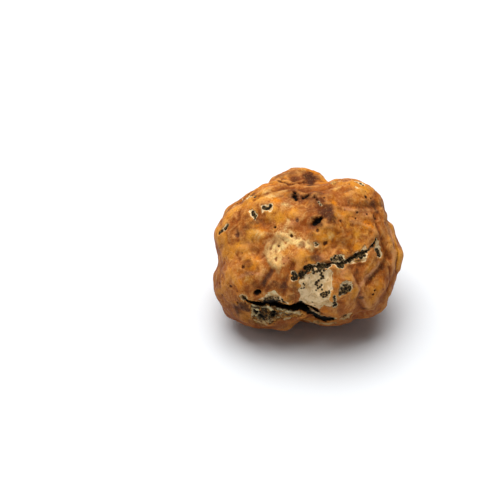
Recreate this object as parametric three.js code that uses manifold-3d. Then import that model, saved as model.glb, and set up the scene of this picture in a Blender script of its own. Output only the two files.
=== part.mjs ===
// A white truffle: one lumpy tuber, grown as a single piece, with a deep split low on its front.
// Millimetres, +Z up, the front faces -Y. The origin is on the resting face's level, under the middle of the body.
import * as THREE from 'three';
import { mergeVertices } from 'three/addons/utils/BufferGeometryUtils.js';
import Module from 'manifold-3d';

// Driving dimensions
const heartHeight = 24; // the middle of the body above the surface it rests on
const heartRadius = 21.5; // the plain round mass under the lobes
const lobeBlend = 2.6; // how softly one lobe flows into the next
const knobCount = 90; // small swellings spread all over the skin
const knobRadius = 4.6;
const knobRadiusSpread = 0.35; // the share by which the knobs' radii differ
const knobProud = 0.55; // how far a knob stands out of its lobe
const knobProudSpread = 0.8;
const knobBlend = 2.0;
const farOut = 50; // a distance from the heart that is outside every lobe
const nearEnough = 0.005; // how close to the skin a vertex is brought
const skinDetail = 19; // subdivisions of each edge of the starting icosahedron

// The split: a deep, narrow gap that runs across the front, above a lower lip.
const split = {
  // where it runs, as degrees right of the front and degrees above the level of the heart
  path: [
    [-47, -2], [-40, -4], [-34, -6], [-27, -4], [-21, -3], [-15, -5],
    [-9, -4], [-4, -7], [1, -11], [7, -14], [12, -16], [18, -16],
  ],
  gap: 2.3, // at the skin, where it opens widest
  endGap: 0.3,
  floorGap: 0.35, // the share of the gap that is left at the bottom of the split
  waver: 0.25, // the share by which the gap widens and narrows along its run
  wavers: 3, // how often it does so
  depth: 8,
  endDepth: 0.35, // the share of the depth that is left at its ends
  overshoot: 1.5, // how far the cut starts outside the skin
  downTo: 13, // the level it slopes towards as it runs in under the upper lobes
  steps: 36,
};

// The big lobes: each is a ball, given by its middle and its radius.
const lobes = [
  // upper front, from left to right
  { at: [-24.5, 1, 28.5], radius: 5.8 },
  { at: [-16.5, 0.5, 28.5], radius: 13.5 },
  { at: [-9.5, 2.5, 33.5], radius: 13.2 },
  { at: [-3, 4.5, 33.5], radius: 11.5 },
  { at: [4, -0.5, 34.5], radius: 13.4 },
  { at: [12.5, 5, 34], radius: 12.6 },
  { at: [14.5, -0.5, 32], radius: 11.8 },
  { at: [19, 4, 33], radius: 6.2 },
  // lower front, from right to left
  { at: [20, -3.5, 24], radius: 10.6 },
  { at: [15.5, -8, 19.6], radius: 12.9 },
  { at: [7.5, -12.5, 23.5], radius: 12.6 },
  { at: [9, -13, 13.5], radius: 8 },
  { at: [-6, -13, 26.5], radius: 11.4 },
  { at: [-9.5, -14.4, 15.6], radius: 9.2 },
  { at: [-16, -9, 21.5], radius: 13.1 },
  { at: [-20.5, -8.5, 14.5], radius: 9.8 },
  { at: [-15, -10, 13], radius: 10.8 },
  // the knuckle behind the top
  { at: [-8, 15.5, 35], radius: 6.8 },
  { at: [-3, 18, 34.8], radius: 7.4 },
  // back
  { at: [0, 5, 21], radius: 19.5 },
  { at: [-14, 9, 27], radius: 11.7 },
  { at: [13, 10, 26], radius: 12.4 },
  { at: [-4, 15.5, 29], radius: 9.2 },
  { at: [3, 17, 21], radius: 9.5 },
  { at: [-21, 6, 16], radius: 8.6 },
  { at: [20, 5, 18], radius: 9.2 },
  { at: [-9, 12, 13.5], radius: 12.4 },
  { at: [9, 11, 11.5], radius: 10.4 },
  // underside
  { at: [1, 1, 16.5], radius: 17.6 },
  { at: [-12, -3, 11.5], radius: 10.5 },
  { at: [12, -3, 12.5], radius: 11.5 },
];

const heart = new THREE.Vector3(0, 0, heartHeight);

// Two distances joined with a rounded valley, as two lobes grow together.
function blend(a, b, width) {
  const closeness = Math.max(width - Math.abs(a - b), 0) / width;
  return Math.min(a, b) - closeness * closeness * width / 4;
}

// Distance from a point to the skin of a set of balls, negative inside.
function distanceToBalls(point, balls, start, width) {
  let distance = start;
  for (const ball of balls) {
    distance = blend(distance, point.distanceTo(ball.middle) - ball.radius, width);
  }
  return distance;
}

const lobeBalls = lobes.map(({ at, radius }) => ({ middle: new THREE.Vector3(...at), radius }));

function distanceToLobes(point) {
  return distanceToBalls(point, lobeBalls, point.distanceTo(heart) - heartRadius, lobeBlend);
}

// The outermost point of a field along a direction from the heart.
function skinPoint(direction, field) {
  const point = new THREE.Vector3();
  let reach = farOut;
  let distance = farOut;
  while (distance > nearEnough) {
    point.copy(direction).multiplyScalar(reach).add(heart);
    distance = field(point);
    reach -= distance * 0.9; // a little short of the whole way, so that it never steps through
  }
  return point;
}

// Knobs sit on a spiral that covers the body evenly, each a little under the skin of its lobe.
const goldenTurn = Math.PI * (3 - Math.sqrt(5));
const knobBalls = [];
for (let i = 0; i < knobCount; i += 1) {
  const height = 1 - 2 * (i + 0.5) / knobCount;
  const turn = goldenTurn * i + 0.5 * Math.sin(i * 2.3);
  const across = Math.sqrt(1 - height * height);
  const direction = new THREE.Vector3(across * Math.cos(turn), across * Math.sin(turn), height);
  const radius = knobRadius * (1 + knobRadiusSpread * Math.sin(i * 4.1));
  const proud = knobProud * (1 + knobProudSpread * Math.sin(i * 1.7));
  const middle = skinPoint(direction, distanceToLobes);
  middle.addScaledVector(direction, proud - radius);
  knobBalls.push({ middle, radius });
}

function distanceToSkin(point) {
  return distanceToBalls(point, knobBalls, distanceToLobes(point), knobBlend);
}

// The whole skin, as an icosahedron whose vertices are pushed out to it.
function skinGeometry() {
  const geometry = new THREE.IcosahedronGeometry(1, skinDetail);
  const position = geometry.getAttribute('position');
  const direction = new THREE.Vector3();
  for (let i = 0; i < position.count; i += 1) {
    direction.fromBufferAttribute(position, i).normalize();
    const point = skinPoint(direction, distanceToSkin);
    position.setXYZ(i, point.x, point.y, point.z);
  }
  return geometry;
}

// A direction from the heart, by its turn to the right of the front and its tilt above the level.
function directionAt(turn, tilt) {
  const right = THREE.MathUtils.degToRad(turn);
  const up = THREE.MathUtils.degToRad(tilt);
  return new THREE.Vector3(Math.sin(right) * Math.cos(up), -Math.cos(right) * Math.cos(up), Math.sin(up));
}

// The blade that cuts the split: a box, bent along the path, narrowing inwards and towards its ends.
function splitBlade() {
  const path = new THREE.CatmullRomCurve3(
    split.path.map(([turn, tilt]) => skinPoint(directionAt(turn, tilt), distanceToSkin)),
  );
  const floorPoint = new THREE.Vector3(0, 0, split.downTo);
  const blade = new THREE.BoxGeometry(1, 1, 1, split.steps, 1, 4);
  const position = blade.getAttribute('position');
  for (let i = 0; i < position.count; i += 1) {
    const along = position.getX(i) + 0.5;
    const side = position.getY(i);
    const inward = position.getZ(i) + 0.5;
    const place = path.getPoint(along);
    const into = floorPoint.clone().sub(place).normalize();
    const across = into.clone().cross(path.getTangent(along)).normalize();
    const waver = 1 + split.waver * Math.sin(2 * Math.PI * split.wavers * along);
    const opening = Math.sqrt(Math.sin(Math.PI * along)) * waver;
    const gap = split.endGap + (split.gap - split.endGap) * opening;
    const width = gap * THREE.MathUtils.lerp(1, split.floorGap, inward);
    const depth = split.depth * THREE.MathUtils.lerp(split.endDepth, 1, Math.sin(Math.PI * along));
    place.addScaledVector(into, THREE.MathUtils.lerp(-split.overshoot, depth, inward));
    place.addScaledVector(across, side * width);
    position.setXYZ(i, place.x, place.y, place.z);
  }
  return blade;
}

const wasm = await Module();
wasm.setup();

function toSolid(geometry) {
  const bare = geometry.clone();
  bare.deleteAttribute('normal');
  bare.deleteAttribute('uv');
  const merged = mergeVertices(bare, 1e-4);
  return new wasm.Manifold(new wasm.Mesh({
    numProp: 3,
    vertProperties: merged.getAttribute('position').array,
    triVerts: new Uint32Array(merged.index.array),
  }));
}

function toGeometry(solid) {
  const mesh = solid.getMesh();
  const geometry = new THREE.BufferGeometry();
  geometry.setAttribute('position', new THREE.BufferAttribute(mesh.vertProperties, 3));
  geometry.setIndex(new THREE.BufferAttribute(mesh.triVerts, 1));
  geometry.computeVertexNormals();
  return geometry;
}

// The surface it rests on, which flattens a small spot underneath.
function restingBlock() {
  const size = 100;
  const block = new THREE.BoxGeometry(size, size, size);
  block.translate(0, 0, -size / 2);
  return toSolid(block);
}

const body = toSolid(skinGeometry()).subtract(restingBlock()).subtract(toSolid(splitBlade()));

// The middle of the body goes over the origin.
const bodyGeometry = toGeometry(body);
bodyGeometry.computeBoundingBox();
const middle = bodyGeometry.boundingBox.getCenter(new THREE.Vector3());
bodyGeometry.translate(-middle.x, -middle.y, 0);

const truffle = new THREE.Mesh(
  bodyGeometry,
  new THREE.MeshStandardMaterial({ color: 0xb8793a, roughness: 0.7, metalness: 0 }),
);
truffle.name = 'truffle';

const part = new THREE.Group();
part.add(truffle);

export default part;
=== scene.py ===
import bmesh
import bpy
import random
from math import cos, pi, radians, sin
from mathutils import Matrix, Vector, noise
from mathutils.bvhtree import BVHTree
from mathutils.kdtree import KDTree


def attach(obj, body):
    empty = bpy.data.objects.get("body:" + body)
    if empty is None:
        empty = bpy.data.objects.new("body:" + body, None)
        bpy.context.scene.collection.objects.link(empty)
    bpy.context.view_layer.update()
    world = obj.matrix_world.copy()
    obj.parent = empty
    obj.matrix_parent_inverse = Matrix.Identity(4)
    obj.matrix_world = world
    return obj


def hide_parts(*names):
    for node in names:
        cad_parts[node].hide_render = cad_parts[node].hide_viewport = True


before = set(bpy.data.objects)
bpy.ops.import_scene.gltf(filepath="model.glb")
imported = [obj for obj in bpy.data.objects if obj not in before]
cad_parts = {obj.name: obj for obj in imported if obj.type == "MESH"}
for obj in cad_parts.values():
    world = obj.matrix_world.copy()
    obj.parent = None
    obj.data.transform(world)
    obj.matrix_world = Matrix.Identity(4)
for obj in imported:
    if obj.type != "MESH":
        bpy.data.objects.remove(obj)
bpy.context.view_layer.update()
noise.seed_set(1)  # noise_vector is seeded from the clock otherwise
mm = 0.001  # the skin is carved in millimetres, and scaled to metres when it is done

bodyMiddle = Vector((0, 0, 24))  # mm, every place on a view is measured from here
eyeDistance = 440  # mm
# turn is degrees round the truffle, 0 looks along +Y; tilt is degrees above the floor; aside and above move
# the eye, in mm
views = {
    "front": {"turn": 0, "tilt": 42, "aside": -22.1, "above": 3.0},
    "right": {"turn": 90, "tilt": 10, "aside": 0, "above": 0},
    "back": {"turn": 180, "tilt": 25, "aside": 0, "above": 0},
    "left": {"turn": 270, "tilt": 10, "aside": 0, "above": 0},
    "top": {"turn": 0, "tilt": 89, "aside": 0, "above": 0},
}


def viewAxes(view):
    turn, tilt = radians(view["turn"]), radians(view["tilt"])
    right = Vector((cos(turn), sin(turn), 0))
    towardsEye = Vector((sin(turn) * cos(tilt), -cos(turn) * cos(tilt), sin(tilt)))
    return right, towardsEye.cross(right), towardsEye


def eyePoint(view):
    right, up, towardsEye = viewAxes(view)
    return bodyMiddle + right * view["aside"] + up * view["above"] + towardsEye * eyeDistance


def addCamera():
    right, up, towardsEye = viewAxes(views["front"])
    camera = bpy.data.objects.new("camera", bpy.data.cameras.new("camera"))
    bpy.context.collection.objects.link(camera)
    turned = Matrix((right, up, towardsEye)).transposed().to_4x4()
    camera.matrix_world = Matrix.Translation(eyePoint(views["front"]) * mm) @ turned
    camera.data.lens = 100  # mm
    camera.data.sensor_width = 36  # mm
    bpy.context.scene.camera = camera


# Every place is (mm right, mm up) from the middle of the body, as the view it is listed under shows it.
truffle = {
    "spacing": 0.46,  # mm between the points of the fine skin
    "rounding": 6,  # passes that take the solid's facets away
    "flat": 0.02,  # mm, a point lower than this belongs to the resting spot
    "lump": {"size": 6.0, "height": 0.75},  # mm, as in the next five lines
    "vein": {"size": 4.4, "height": 0.18, "width": 0.3},  # but the width is a share of the size
    "wrinkle": {"size": 3.0, "height": 0.13},
    "pimple": {"size": 1.3, "height": 0.08},
    "wander": {"size": 5.5, "reach": 2.2},  # how far veins and wrinkles stray
    "finer": {"mouth": 0.7, "pits": 0.4, "grains": 0.45, "peels": 0.5},  # how far smaller faces reach
    "grainSeed": 11,

    "furrows": {  # valleys: depth, half width, line
        "front": [
            (0.4, 1.5, [(-31, -1), (-26, 1.6), (-21, 2.4), (-18.4, 3)]),
            (0.8, 1.6, [(26.6, -3), (25.2, -5), (23.9, -7), (21.8, -8.8), (20.6, -11)]),
            (0.45, 1.5, [(13.6, 15.4), (15.4, 14.4), (19, 14), (22.1, 14.3), (25, 14.8)]),
            (0.35, 1.2, [(-17, 17.4), (-12.5, 19), (-8, 20.6), (-5, 21)]),
            (0.9, 0.6, [(-10, 22.4), (-7.5, 21.9), (-5.1, 21.5), (-3, 21.9), (-1, 22.1), (1, 21.9),
                        (3.2, 21.7)]),
            (0.7, 1.6, [(5.5, 19), (5.6, 15), (4.8, 11.5), (3, 8)]),
            (0.7, 1.1, [(-11.9, -7.4), (-13.4, -9.6), (-14.5, -11.6), (-16, -13.4)]),
            (0.6, 1.2, [(-4.6, -5), (-6.4, -9), (-7.5, -12.5), (-7.4, -15)]),
            (0.5, 1.0, [(22.5, 11), (24, 6), (25.5, 1), (27.5, -3)]),
            (0.5, 1.1, [(16, -9), (17.6, -13), (17, -17), (18.5, -20)]),
            (0.25, 1.4, [(-25, 10), (-21, 7.5), (-17, 7), (-13, 8.5)]),
            (0.35, 0.5, [(26.2, 12), (26.6, 8), (27.6, 4), (29, 0)]),
            (0.35, 0.5, [(28.6, 3), (29.8, -1), (29.4, -5), (29.6, -8)]),
            (0.35, 0.5, [(27.2, -6), (27.8, -10), (26.6, -14)]),
            (0.3, 0.7, [(-23.2, 6.4), (-22.9, 4.6), (-22.8, 3)]),
            (0.3, 0.7, [(-22.4, 12.4), (-22.6, 10)])],
        "back": [
            (1.0, 1.5, [(-24, 6), (-15, 3), (-7, 5), (1, 1), (9, 3), (18, -1)]),
            (0.8, 1.3, [(-9, -20), (-6, -13), (-8, -6), (-5, 4)]),
            (0.8, 1.3, [(15, 9), (13, 4), (10, -3), (12, -12)])],
        "right": [
            (0.9, 1.4, [(1, 8), (6, 4), (12, 5), (19, 1)]),
            (0.8, 1.3, [(4, 4), (6, -3), (3, -12), (5, -19)])],
        "left": [
            (0.9, 1.4, [(-20, -2), (-13, 1), (-7, -3), (-2, -2)]),
            (0.7, 1.3, [(-9, 15), (-8, 8), (-5, 3), (-6, -6), (-3, -14)])],
        "top": [(0.6, 1.4, [(-14, 4), (-6, 6), (1, 3), (9, 8)])],
    },
    "ridges": {  # low folds, paler than the skin round them: height, half width, line
        "front": [
            (0.3, 0.8, [(-29, -0.2), (-24.7, 1), (-23.2, -0.2), (-18.6, 0.8), (-15, 0.6)]),
            (0.5, 0.6, [(-12.6, 1.8), (-13, -1.4), (-12.3, -3.3), (-10.7, -5)]),
            (0.5, 0.6, [(-9.4, -0.2), (-9, -3.3), (-9.4, -6.7)]),
            (0.45, 0.6, [(-9.5, 5), (-5, 3), (-1, 1.8), (1, 0.2)]),
            (0.45, 0.6, [(12, 13.6), (15, 12.9), (19, 13), (22.6, 13)]),
            (0.45, 0.6, [(14.4, 9.2), (17.5, 8.5), (21.1, 6.8), (23.5, 4.9)]),
            (0.35, 0.5, [(18.2, 10.4), (21.1, 10.7), (22.6, 9.5)]),
            (0.4, 0.6, [(5, 7), (8, 7.6), (11, 6.4), (14, 6.6)]),
            (0.4, 0.6, [(9, 1.6), (10.4, 4), (12.8, 5)]),
            (0.5, 0.8, [(23.4, -4.8), (21.6, -7.2), (19.9, -10.1), (18.2, -12.2)]),
            (0.6, 0.7, [(25.4, 9), (26.4, 5), (27, 1), (27.2, -3.6)]),
            (0.5, 0.6, [(27.6, 1), (28.4, -3), (28.2, -8), (27, -12)]),
            (0.45, 0.7, [(14.6, -9.4), (16.4, -12), (16.4, -15)]),
            (0.4, 0.6, [(17.6, -13.4), (20, -16.6), (20.4, -19)]),
            (1.4, 0.7, [(0.6, -19), (2.2, -20.2), (3.8, -21.1), (5, -21.6)]),
            (0.5, 0.5, [(-1.2, -22.9), (2, -23.6), (5.4, -24.3), (9.5, -24.1), (14, -23.6), (17.7, -22.9)]),
            (0.7, 0.6, [(-5.3, 20.9), (-2.9, 22.1), (0.2, 22.8), (3.6, 22.6)]),
            (0.5, 0.5, [(-3.6, 20), (-2.7, 20.9), (0.2, 20.7), (3.4, 21)]),
            (0.7, 0.4, [(-14.5, -19.3), (-13.3, -21), (-11.9, -22.8)])],
        "back": [(0.45, 0.8, [(-20, 0), (-12, -2), (-4, 0), (4, -4), (13, -3)])],
        "right": [(0.45, 0.8, [(2, 1), (8, 0), (13, -4), (18, -4)])],
        "left": [(0.45, 0.8, [(-18, -7), (-12, -9), (-7, -7), (-2, -9)])],
    },
    "pits": {  # small hollows: what darkens them, then right, up, radius, depth
        "front": [
            ("black", [
                (-19.5, 18.4, 0.5, 0.5), (-18.5, 18.2, 0.5, 0.5), (-16.7, -14.8, 1.0, 1.3),
                (-15.9, -14.5, 0.6, 0.8), (19.3, 17.2, 0.55, 0.5), (21.7, -14.9, 0.35, 0.5),
                (22.2, -13.6, 0.35, 0.5), (3.4, 9.9, 1.1, 1.4), (2.2, 8.7, 0.9, 1.1), (4.6, 10.9, 0.5, 0.5),
                (-4, 18.9, 0.7, 1.2), (-4, 17.6, 0.8, 1.3), (-3.6, 16.5, 0.6, 0.8), (-0.2, 17.7, 0.9, 1.2),
                (-1.2, 17.1, 0.7, 1.0), (-16.9, -20.9, 0.95, 0.9), (-17.4, -20, 0.6, 0.6),
                (-15.3, -22.4, 1.1, 0.8), (-11.1, -21.2, 0.8, 1.0), (-11.3, -22.3, 0.8, 1.0),
                (-14.2, -23.4, 0.7, 0.5), (-10.4, 7.1, 0.4, 0.6)]),
            ("umber", [
                (-22.8, -17.6, 0.5, 0.4), (-21.2, -18.8, 0.5, 0.4), (-23.2, -19.4, 0.4, 0.3),
                (-20.3, -17.6, 0.4, 0.3), (-21.1, -6, 0.55, 0.5), (-25.3, -12.3, 0.55, 0.4),
                (-28.9, -11.3, 0.55, 0.4), (-27.8, -15.2, 0.5, 0.3), (-5.1, 4.4, 0.55, 0.6),
                (-9.3, 0.9, 0.35, 0.4), (6, 2, 0.8, 0.5), (21.2, 16.7, 0.4, 0.3), (4.6, 10.6, 0.7, 0.8),
                (2.4, 17.2, 0.45, 0.5), (3.2, 16.4, 0.4, 0.5), (5.8, 17.2, 0.4, 0.3), (3.4, 6.1, 0.6, 0.4),
                (16.5, 12, 0.4, 0.3), (19.8, 11.5, 0.35, 0.3), (16, 10, 0.35, 0.3), (23.2, 10.3, 0.5, 0.3),
                (11, 9.2, 0.4, 0.3)]),
            ("slate", [(-23, 4.6, 0.8, 0.4), (-3.3, 9.5, 0.6, 0.35), (18, -16.4, 0.8, 0.4)])],
        "back": [
            ("black", [(-10, 4, 1.2, 1.2), (5, -8, 0.9, 0.9)]),
            ("umber", [(-3, -12, 0.6, 0.5), (16, 1, 0.6, 0.5)])],
        "right": [("black", [(12, 7, 0.9, 0.8)]), ("umber", [(4, -9, 0.8, 0.7)])],
        "left": [("black", [(-12, 7, 1.0, 1.0)]), ("umber", [(-4, -10, 0.8, 0.7)])],
    },
    "peels": {  # skin worn away down to the flesh, inside an outline
        "front": [
            [(-2.5, -9), (0, -8.4), (3, -7.2), (7.6, -6.6), (8.4, -7.7), (8.2, -10.6), (8.4, -13),
             (7.3, -16.4), (8.4, -18.1), (7.8, -19.3), (5.4, -18.8), (3.8, -19.9), (4.8, -21.7), (3, -21.9),
             (0, -20), (-2.2, -18), (-2.8, -16.6), (-2.2, -15.2), (-3, -13.6), (-2.1, -12), (-2.8, -10.6)],
            [(-22.4, -15.4), (-21.4, -14.7), (-20.2, -15.2), (-19.6, -16), (-20.4, -17.1), (-21.8, -16.6)],
            [(-18.6, -18), (-15, -18.4), (-9, -19), (-5, -20), (-2, -20.5), (-1, -21.6), (-3.4, -22.4),
             (-5.8, -23.3), (-9.4, -23.6), (-12.4, -24.6), (-15.3, -25.2), (-17, -24.6), (-18.2, -22.9),
             (-18.4, -20.4)],
            [(-16.4, -16.9), (-15.2, -16.5), (-13.8, -15.5), (-12.4, -14.1), (-10.9, -13.6), (-9.8, -14.4),
             (-8.8, -15.6), (-7.6, -16.9), (-5.4, -17.8), (-3.9, -17.4), (-3.9, -18.2), (-6, -19),
             (-12, -18), (-16, -18)],
            [(-22.2, -15.2), (-20.6, -15.7), (-18.4, -16.7), (-17.9, -17.8), (-20, -17.2), (-22, -16.2)],
            [(-1.2, -22.6), (2, -23.3), (5.4, -24.1), (9.5, -23.9), (9.5, -24.4), (5.4, -24.8), (1.6, -24),
             (-1, -23.3)],
            [(3, -21), (6, -22), (10, -22.4), (10, -22.8), (6, -22.5), (2.6, -21.4)],
            [(10.6, -14.6), (10.8, -12), (12, -10.7), (13, -10.2), (14.4, -10.9), (15.4, -12.4),
             (14.6, -13.6), (12.6, -15), (10.8, -15.4)],
            [(10.6, -22.6), (12, -21.6), (14.4, -20.8), (15, -21.3), (14, -22.6), (12, -23)],
            [(-15.4, 14.5), (-13.4, 14.4), (-11.4, 15), (-11.1, 13.2), (-11.7, 12.2), (-13, 12.8),
             (-14.9, 12)],
            [(-19, 12.6), (-17.9, 13.4), (-16.7, 11.6), (-16.5, 10.6), (-16.9, 9.5), (-18, 10.4),
             (-18.8, 11.2)],
            [(7.2, -3.8), (8.8, -2.4), (10.4, -1.9), (12.2, -2.1), (12.6, -3.6), (11, -4.4)],
            [(13.6, -4.7), (15, -4), (17, -3.6), (19.6, -2.6), (19.6, -4), (17.4, -4.5)],
            [(16, -1.3), (18.2, 0.2), (19, 1.2), (19.6, 0.4), (20.2, -1.6), (19.6, -3.4), (18.4, -0.2)],
            [(22.5, -0.4), (23, 1.4), (22.6, 3.2), (23.3, 3.6), (24.2, 1.4), (24.9, -0.6), (25, -2),
             (24, -2.8), (23, -2.4)],
            [(2.2, 2.2), (3, 2.5), (4, 1.6), (4.2, 0.9), (3, 0.2), (2.4, 1)],
            [(15.6, 20.7), (16.6, 20.4), (16.9, 19.5), (16.2, 19.6)],
            [(7.4, 21.8), (9, 22.3), (11.2, 22.4), (10.6, 22), (9, 21.7)],
            [(14.8, 22.4), (17, 22), (19, 20.6), (17.6, 20.6), (15.6, 21.6)]],
        "back": [
            [(5.8, 3.4), (7.2, 4.6), (9.6, 4.6), (11.6, 4.2), (13.6, 3.2), (13.2, 1.4), (12, 0.6), (11, -1),
             (9.4, -1.6), (8.4, -0.4), (6.6, 0.6)],
            [(-15.8, -4.8), (-14.2, -4.4), (-12.2, -5), (-9.8, -5.8), (-9.2, -7.4), (-9.4, -9.8),
             (-10.8, -11), (-12.6, -10.2), (-14.4, -10.4), (-14.2, -8.4), (-15.6, -7)]],
        "right": [
            [(3.4, -11.8), (4.8, -10.6), (6.6, -10.2), (8.8, -10.6), (8.8, -12.4), (7.6, -13.4),
             (6.6, -14.6), (4.8, -14.4), (4.4, -13.2)]],
        "left": [
            [(-14.6, -6.2), (-13.6, -4.8), (-12, -3.8), (-10.2, -4.6), (-9.8, -6.6), (-10.2, -8.4),
             (-12, -8.2), (-13.4, -8.4)]],
    },
    "mouth": {  # the dark opening of the split: (right, up, half width)
        "view": "front",
        "depth": 1.5,
        "line": [
            (-18.4, -17.3, 0.15), (-17, -17.7, 0.6), (-15, -17.9, 0.9), (-12.6, -17.7, 1.0),
            (-10.6, -17.9, 1.1), (-9.2, -18.4, 1.0), (-7, -19, 1.1), (-4.6, -19.3, 1.2), (-2.4, -18.5, 1.5),
            (-0.4, -19.8, 1.1), (1.9, -21.35, 0.9), (3.9, -22.1, 1.05), (6.1, -22.6, 0.95),
            (8.6, -22.6, 0.6)],
    },
    "seams": {  # narrow cracks packed with dark grains: depth, half width, grain radius, line
        "front": [
            (0.7, 0.55, 0.52, [(-0.7, -6.3), (2, -6), (4.2, -5.5), (7.3, -4.8), (9.5, -4.7), (11.2, -5),
                               (13.6, -3.8), (15.3, -2.6), (18, -1.6), (19.6, -0.9)]),
            (0.4, 0.4, 0.25, [(19.8, -0.8), (21, 0.3), (22.1, 1), (22.8, 2.2), (23, 3.4)]),
            (0.5, 0.4, 0.36, [(-21.4, -15.8), (-20, -16.6), (-18.2, -17.5), (-16.4, -17.9)])],
        "back": [(0.7, 0.7, 0.5, [(-4, 6), (0, 3.6), (4, 3), (7, 0)])],
        "right": [(0.6, 0.6, 0.45, [(4, -5), (7, -2.4), (11, -2.2), (14, 0.4)])],
    },
    "grains": {  # single dark grains: right, up, radius
        "front": [
            (-4.3, -8.2, 0.85), (-3.8, -9.1, 0.95), (-4.5, -9.6, 0.8), (-2.3, -8.4, 0.8),
            (-1.3, -8.1, 0.85), (-1.8, -7.6, 0.6), (-0.7, -7.8, 0.6), (-0.4, -6.2, 0.85), (0.5, -5.7, 0.9),
            (1.4, -6.1, 0.85), (0.3, -6.9, 0.8), (1.9, -6.8, 0.6), (12.2, -12, 0.4), (13.2, -11.7, 0.35),
            (13.9, -12.1, 0.35), (12.8, -12.7, 0.4), (14.4, -12.4, 0.3), (11.6, -12.8, 0.35),
            (2.2, -8, 0.45), (2.7, -7.4, 0.4), (10.5, -5.3, 0.85), (11.6, -5.6, 0.75), (11.5, -4.7, 0.75),
            (10.8, -5.9, 0.5), (17.1, -1.9, 0.85), (18.1, -1.2, 0.85), (18.8, -1.9, 0.75),
            (17.9, -2.6, 0.75), (16.4, -2.6, 0.6), (19.9, -0.6, 0.4), (23.5, -0.4, 0.7), (23.8, -1.2, 0.95),
            (24.1, -2, 0.75), (23.4, -1.8, 0.6), (22.2, 1, 0.6), (22.8, 1.8, 0.5), (23.1, 2.8, 0.45),
            (3.9, -6.6, 0.6), (4.8, -6.2, 0.65), (5.6, -6, 0.6), (3.3, -7.4, 0.5), (4.4, -7.3, 0.5),
            (5.6, -7, 0.5), (6.6, -5.8, 0.6), (7.4, -5.4, 0.6), (4.9, -7.9, 0.45), (8.2, -3.4, 0.5),
            (8.9, -3, 0.55), (9.7, -3.4, 0.5), (10.4, -2.6, 0.5), (10.8, -3.4, 0.6), (11.5, -2.9, 0.55),
            (9.4, -2.3, 0.4), (12, -3.8, 0.55), (13.4, -4.2, 0.5), (14.4, -3.5, 0.5), (15.4, -3.2, 0.5),
            (-1.2, -11.4, 0.4), (-0.8, -11.8, 0.35), (-1.8, -12.9, 0.35), (-1, -12.8, 0.35),
            (4.6, -8.6, 0.5), (5.3, -9.2, 0.6), (4.8, -9.9, 0.5), (5.6, -9.8, 0.35), (3.9, -10.6, 0.5),
            (3.2, -11.2, 0.6), (2.9, -11.9, 0.5), (4.3, -12.7, 0.45), (4.8, -12, 0.4), (3.4, -12.4, 0.35),
            (4.9, -13.5, 0.4), (3.6, -13.2, 0.4), (3, -13.8, 0.3), (4.8, -15, 0.6), (5.6, -14.6, 0.6),
            (6.4, -14.2, 0.5), (7.2, -14.1, 0.6), (5.4, -15.6, 0.55), (6.6, -15, 0.45), (6.2, -15.6, 0.3),
            (9, -15.6, 0.5), (9.1, -16.4, 0.5), (9.2, -17.1, 0.4), (9.1, -18.1, 0.65), (9.5, -18.8, 0.65),
            (8.8, -19, 0.5), (1.8, -17.6, 0.3), (2.5, -18.9, 0.3), (0.8, -9.6, 0.2), (11, -14.6, 0.4),
            (11.6, -14.4, 0.5), (12.4, -14.2, 0.5), (13.2, -13.9, 0.5), (14, -13.4, 0.5), (14.5, -13, 0.4),
            (12, -13.6, 0.45), (12.9, -13.2, 0.45), (13.6, -12.8, 0.4), (11.5, -13.4, 0.35),
            (10.9, -15.2, 0.35), (-14.3, 13.9, 0.7), (-13.4, 13.5, 0.75), (-12.6, 13.6, 0.65),
            (-12, 14.3, 0.65), (-18.1, 12.3, 0.65), (-17.8, 11.5, 0.7), (-17.3, 10.9, 0.6),
            (-17.2, 10.1, 0.45), (3, 2, 0.35), (3.1, 1.1, 0.3), (3.6, 1.4, 0.3), (-26.3, 7.7, 0.65),
            (-26.9, 6.9, 0.75), (-27.8, 5.9, 0.65), (-28.4, 5.2, 0.6), (13.9, 21.3, 0.4), (3.9, 15.5, 0.35),
            (4.6, 14.8, 0.35), (-20.4, 16.4, 0.45), (-19.3, 16.9, 0.55), (-18.3, 17.2, 0.45),
            (-17.2, 17.2, 0.5), (-16.1, 16.8, 0.4), (15.6, 22.2, 0.45), (16.4, 21.9, 0.55),
            (17.6, 21.3, 0.55), (18.4, 20.8, 0.45)],
        "back": [
            (7.6, 2.6, 0.8), (8.6, 2, 0.75), (8, 1.2, 0.6), (9.4, 2.8, 0.5), (11.8, 2.4, 0.7),
            (12.4, 1.6, 0.6), (11.6, 1.4, 0.5), (9.6, 4.6, 0.35), (10.2, -0.8, 0.4), (-13.4, -6.2, 0.8),
            (-12.4, -5.8, 0.7), (-13, -7.2, 0.7), (-12, -6.8, 0.6), (-10, -8.6, 0.6), (-10.4, -9.4, 0.5),
            (-14.4, -9.8, 0.5), (-11.2, -11, 0.35)],
        "right": [
            (4.8, -12, 0.75), (5.8, -11.6, 0.7), (5.4, -12.9, 0.6), (8, -11.4, 0.45), (6.6, -13, 0.4)],
        "left": [
            (-13.4, -5.4, 0.7), (-12.6, -4.8, 0.6), (-12.8, -6.2, 0.7), (-10.8, -6.2, 0.5),
            (-10.6, -7.2, 0.4)],
    },
    "grit": {  # scattered grains: right, up, half width, half height, how many, least and most radius
        "front": [
            (-15.6, -21.6, 2.4, 2.8, 24, 0.25, 0.5), (-11.4, -21.8, 1.6, 1.9, 8, 0.25, 0.45),
            (-7, -21.3, 4.0, 1.6, 22, 0.16, 0.34), (-11, -16.9, 3.8, 0.7, 12, 0.25, 0.45),
            (10, -3, 2.3, 1.0, 12, 0.15, 0.32), (12.8, -21.9, 1.6, 0.6, 12, 0.15, 0.38),
            (13.6, -11.6, 1.5, 1.0, 6, 0.12, 0.25), (-13, -24.4, 3.0, 0.6, 6, 0.15, 0.3),
            (2, -13.5, 3.4, 5, 10, 0.1, 0.18)],
        "back": [
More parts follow.
